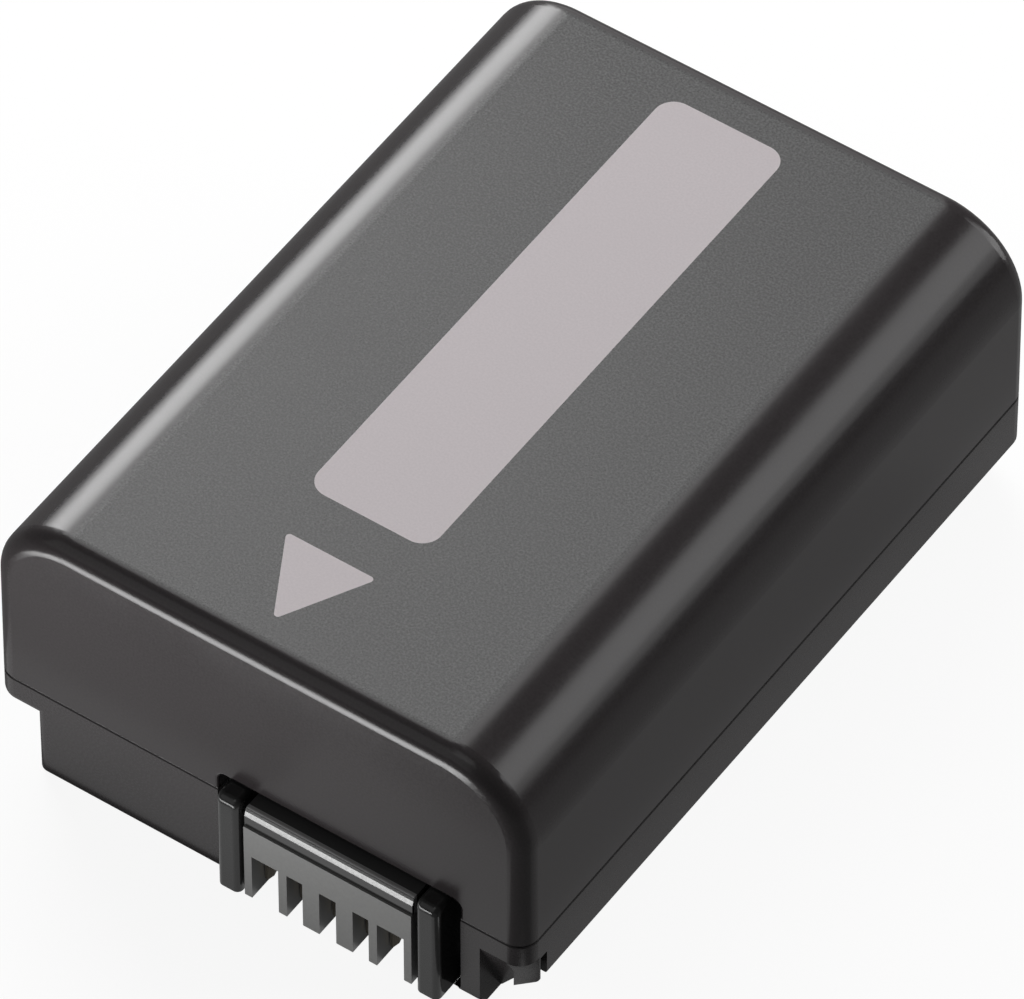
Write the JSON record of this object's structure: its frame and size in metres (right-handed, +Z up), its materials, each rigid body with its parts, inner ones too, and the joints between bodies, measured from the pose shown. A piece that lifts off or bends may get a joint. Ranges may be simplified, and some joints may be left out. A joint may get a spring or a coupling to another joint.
{
  "type": "camera battery",
  "caption": "Rechargeable camera battery: moulded grey case with rounded long edges, rail rebates, a keyed corner, a slotted contact block at one end and cells and a board inside.",
  "frame": {"origin": "middle of the footprint on the underside, level with the surface the pack lies on", "axes": "+X across the terminal end, towards the keyed corner; +Y from the terminal end to the rear; +Z up to the printed face"},
  "size_m": [0.0318, 0.0454, 0.018],
  "materials": {
    "upper_case_plastic": "fine speckled satin, dark grey",
    "lower_case_plastic": "fine satin, darker grey",
    "label_print": "flat light grey print",
    "terminal_plastic": "semi-gloss black",
    "comb_plastic": "semi-gloss dark grey",
    "contact_metal": "gold plated",
    "board_laminate": "green solder mask",
    "chip_moulding": "matt black",
    "shunt_alloy": "dull metal",
    "fuse_body": "pale ceramic",
    "resistor_body": "black glaze",
    "capacitor_body": "tan ceramic",
    "thermistor_bead": "dark resin",
    "cell_can": "nickel plated steel",
    "cell_sleeve": "shrunk film",
    "insulation_card": "pale fibre card",
    "strap_nickel": "bright nickel strip",
    "lead_insulation": "soft white sheath",
    "foam_pad": "soft foam"
  },
  "bodies": {
    "root": {"upper_case": "upper_case_plastic", "lower_case": "lower_case_plastic", "label_panel": "label_print", "insertion_arrow": "label_print", "terminal_housing": "terminal_plastic", "contact_comb": "comb_plastic", "positive_contact": "contact_metal", "charge_contact": "contact_metal", "data_contact": "contact_metal", "sense_contact": "contact_metal", "negative_contact": "contact_metal", "circuit_board": "board_laminate", "gauge_chip": "chip_moulding", "protection_chip": "chip_moulding", "switch_transistors": "chip_moulding", "current_shunt": "shunt_alloy", "thermal_fuse": "fuse_body", "chip_resistors": "resistor_body", "chip_capacitors": "capacitor_body", "thermistor": "thermistor_bead", "left_cell": "cell_can", "right_cell": "cell_can", "left_cell_sleeve": "cell_sleeve", "right_cell_sleeve": "cell_sleeve", "left_cell_ring": "insulation_card", "right_cell_ring": "insulation_card", "positive_strap": "strap_nickel", "negative_strap": "strap_nickel", "series_strap": "strap_nickel", "midpoint_lead": "lead_insulation", "front_insulator": "insulation_card", "rear_insulator": "insulation_card", "left_pad": "foam_pad", "right_pad": "foam_pad"}
  },
  "joints": []
}
